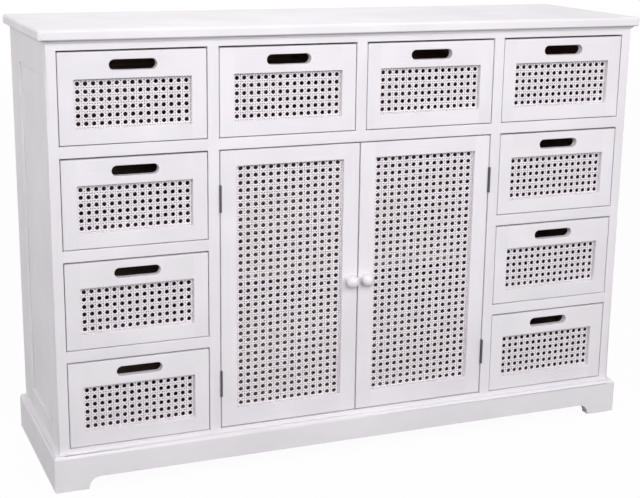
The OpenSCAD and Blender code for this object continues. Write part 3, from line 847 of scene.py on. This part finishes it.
# %% Brads in the back
BRAD_IN = 9  # from the sides and the top of the back to its rows
BRAD_UP = 8  # from its lower edge to the lowest row
BRAD_BESIDE = 8  # from the ceiling's ends to the middle of the partitions
BRAD_OUT = 0.12
BY_EYE = 2
low, high = box_mm("back_panel")
ceiling_low, ceiling_high = box_mm("cupboard_ceiling")
across = [low.x + BRAD_IN + (high.x - low.x - 2 * BRAD_IN) * k / 10 for k in range(11)]
places = [(x, z) for z in (low.z + BRAD_UP, high.z - BRAD_IN) for x in across]
places += [(x, (ceiling_low.z + ceiling_high.z) / 2) for x in across[3:8]]
upright = [low.z + BRAD_UP + (high.z - low.z - BRAD_UP - BRAD_IN) * k / 7 for k in range(1, 7)]
for x in (low.x + BRAD_IN, ceiling_low.x - BRAD_BESIDE, ceiling_high.x + BRAD_BESIDE,
          high.x - BRAD_IN):
    places += [(x, z) for z in upright]
places = [(x + SEED.uniform(-BY_EYE, BY_EYE), high.y + BRAD_OUT,
           z + SEED.uniform(-BY_EYE, BY_EYE)) for x, z in places]
set_heads("back_brads", "carcass", places, BEHIND, radius=1.3, thick=0.5, crossed=False)
print("Brads in the back:", len(places))

# %% [markdown]
# ## The floor, the light and the camera
#
# A product photograph is taken in a white room: big soft lamps, a white floor that runs
# up into a white wall, and hardly a shadow. A real floor would have to be lit far brighter
# than the cabinet to come out white. Here its material asks what kind of ray meets it. The
# camera and the reflections see white with a trace of the real shadow. The light that the
# floor throws back up is that of a mid grey, so that the plinth is a little darker than
# the drawers, as in the photograph.

# %% White floor
FLOOR_REACH = 30
FLOOR_DROP = 0.5 * MM  # so that floor and feet don't share a plane
FADE_FROM, FADE_TO = 2, 7  # metres from the middle, between which the shadow's trace ends
WHITE_SHARE = 0.96


def seen_rays(tree):
    """1 for the camera's rays and for those that a mirror or glass sends on, else 0."""
    ray = add_node(tree, "LightPath")
    seen = ray.outputs["Is Camera Ray"]
    for kind in ("Is Glossy Ray", "Is Transmission Ray"):
        seen = add_node(tree, "Math", {"operation": "MAXIMUM"},
                        links={0: seen, 1: ray.outputs[kind]}).outputs[0]
    return seen


def white_floor():
    """A wide floor that the camera sees as white, with a trace of the object's shadow. Far
    out the trace fades, so that the floor meets the white room without a line."""
    material, tree = new_material("white_floor_paint")
    seen = seen_rays(tree)
    place = add_node(tree, "TexCoord").outputs["Object"]
    distance = add_node(tree, "VectorMath", {"operation": "LENGTH"}, links={0: place})
    white = add_node(tree, "MapRange",
                     values={"From Min": FADE_FROM, "From Max": FADE_TO, "To Min": WHITE_SHARE},
                     links={"Value": distance.outputs["Value"]})
    share = add_node(tree, "Math", {"operation": "MULTIPLY"},
                     links={0: seen, 1: white.outputs[0]})
    colour = add_node(tree, "Mix", {"data_type": "RGBA"},
                      {"A": linear("#767676"), "B": linear("#F4F4F4")}, {"Factor": seen})
    matt = add_node(tree, "BsdfDiffuse", links={"Color": colour.outputs["Result"]})
    glow = add_node(tree, "Emission", values={"Color": (1, 1, 1, 1), "Strength": 1})
    both = add_node(tree, "MixShader", links={0: share.outputs[0], 1: matt.outputs[0],
                                              2: glow.outputs[0]})
    add_node(tree, "OutputMaterial", links={"Surface": both.outputs[0]})
    mesh = bpy.data.meshes.new("floor")
    corners_xy = [(-1, -1), (1, -1), (1, 1), (-1, 1)]
    mesh.from_pydata([(x * FLOOR_REACH, y * FLOOR_REACH, 0) for x, y in corners_xy], [],
                     [(0, 1, 2, 3)])
    mesh.materials.append(material)
    floor = bpy.data.objects.new("floor", mesh)
    bpy.context.scene.collection.objects.link(floor)
    floor.location.z = -FLOOR_DROP
    floor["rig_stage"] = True


white_floor()
print("Floor:", 2 * FLOOR_REACH, "m wide")

# %% [markdown]
# The room round it is the world. It works in the same way: plain white to the camera and
# to what mirrors it, and a weak even light to everything else.

# %% White room
ROOM_LIGHT = 0.14
world = bpy.data.worlds.new("white_room")
bpy.context.scene.world = world
world.use_nodes = True
sky = world.node_tree
sky.nodes.clear()
level = add_node(sky, "MapRange", values={"To Min": ROOM_LIGHT},
                 links={"Value": seen_rays(sky)})
room = add_node(sky, "Background", values={"Color": (1, 1, 1, 1)},
                links={"Strength": level.outputs[0]})
add_node(sky, "OutputWorld", links={"Surface": room.outputs[0]})
print("Room light:", ROOM_LIGHT)

# %% [markdown]
# Three soft boxes light the front and one the left side. They have grids, which narrow
# their light, and look at the cabinet's top, so that little of it falls on the floor. The
# fifth stands behind and above and lights the top board. In front of the cabinet it would
# wash out the top's rounded front edge, which the other lamps meet as well.

# %% Soft boxes
LAMPS = [  # name, place, aim, side in metres, spread in degrees, watts
    ("front_softbox", (-0.9, -3.0, 2.2), (0.1, 0, 0.8), 2.0, 90, 16.7),
    ("right_softbox", (2.2, -3.2, 2.6), (0, 0, 0.8), 2.2, 90, 14.2),
    ("low_front_softbox", (0.3, -3.4, 1.4), (0, 0, 0.8), 2.0, 90, 7.8),
    ("rear_softbox", (0.8, 2.7, 4.0), (0, 0, 0.8), 2.0, 120, 29),
    ("left_fill", (-3.2, -0.2, 1.8), (0, 0, 0.8), 2.0, 90, 13.9)]
for name, place, aim, size, spread, watts in LAMPS:
    lamp = bpy.data.lights.new(name, "AREA")
    lamp.size, lamp.energy, lamp.spread = size, watts, math.radians(spread)
    holder = bpy.data.objects.new(name, lamp)
    bpy.context.scene.collection.objects.link(holder)
    holder.location = place
    holder.rotation_euler = (Vector(aim) - Vector(place)).to_track_quat("-Z", "Y").to_euler()
    print("Lamp:", name, watts, "W")

# %% [markdown]
# The camera was fitted to the photograph: it stands in front and to the left, looks down
# by 14.5 degrees and is rolled by less than a degree. The focal length is given in pixels
# of the 640 pixel wide picture.

# %% Camera
PICTURE_W = 640
FOCAL_PX = 1341.24
CAMERA_AT = Vector((-0.9703, -2.3279, 1.0053))
YAW, PITCH, ROLL = (math.radians(a) for a in (22.323, 14.527, 0.771))

ahead = Vector((math.sin(YAW) * math.cos(PITCH), math.cos(YAW) * math.cos(PITCH),
                -math.sin(PITCH)))
level_right = Vector((math.cos(YAW), -math.sin(YAW), 0))
level_up = level_right.cross(ahead)
right = level_right * math.cos(ROLL) + level_up * math.sin(ROLL)
up = level_up * math.cos(ROLL) - level_right * math.sin(ROLL)
lens = bpy.data.cameras.new("camera")
lens.sensor_width = 36
lens.lens = FOCAL_PX / PICTURE_W * lens.sensor_width
camera = bpy.data.objects.new("camera", lens)
bpy.context.scene.collection.objects.link(camera)
turned = Matrix((right, up, -ahead)).transposed().to_4x4()
camera.matrix_world = Matrix.Translation(CAMERA_AT) @ turned
bpy.context.scene.camera = camera
bpy.context.scene.view_settings.view_transform = "Standard"
print("Lens:", round(lens.lens, 1), "mm")

# %% [markdown]
# ## Sizes
#
# Last the lesson prints how large the dressed part is.

# %% Print the size and finish
bpy.context.view_layer.update()
low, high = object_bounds()
print("Visual box in mm:", [round(v / MM, 1) for v in (high - low)])
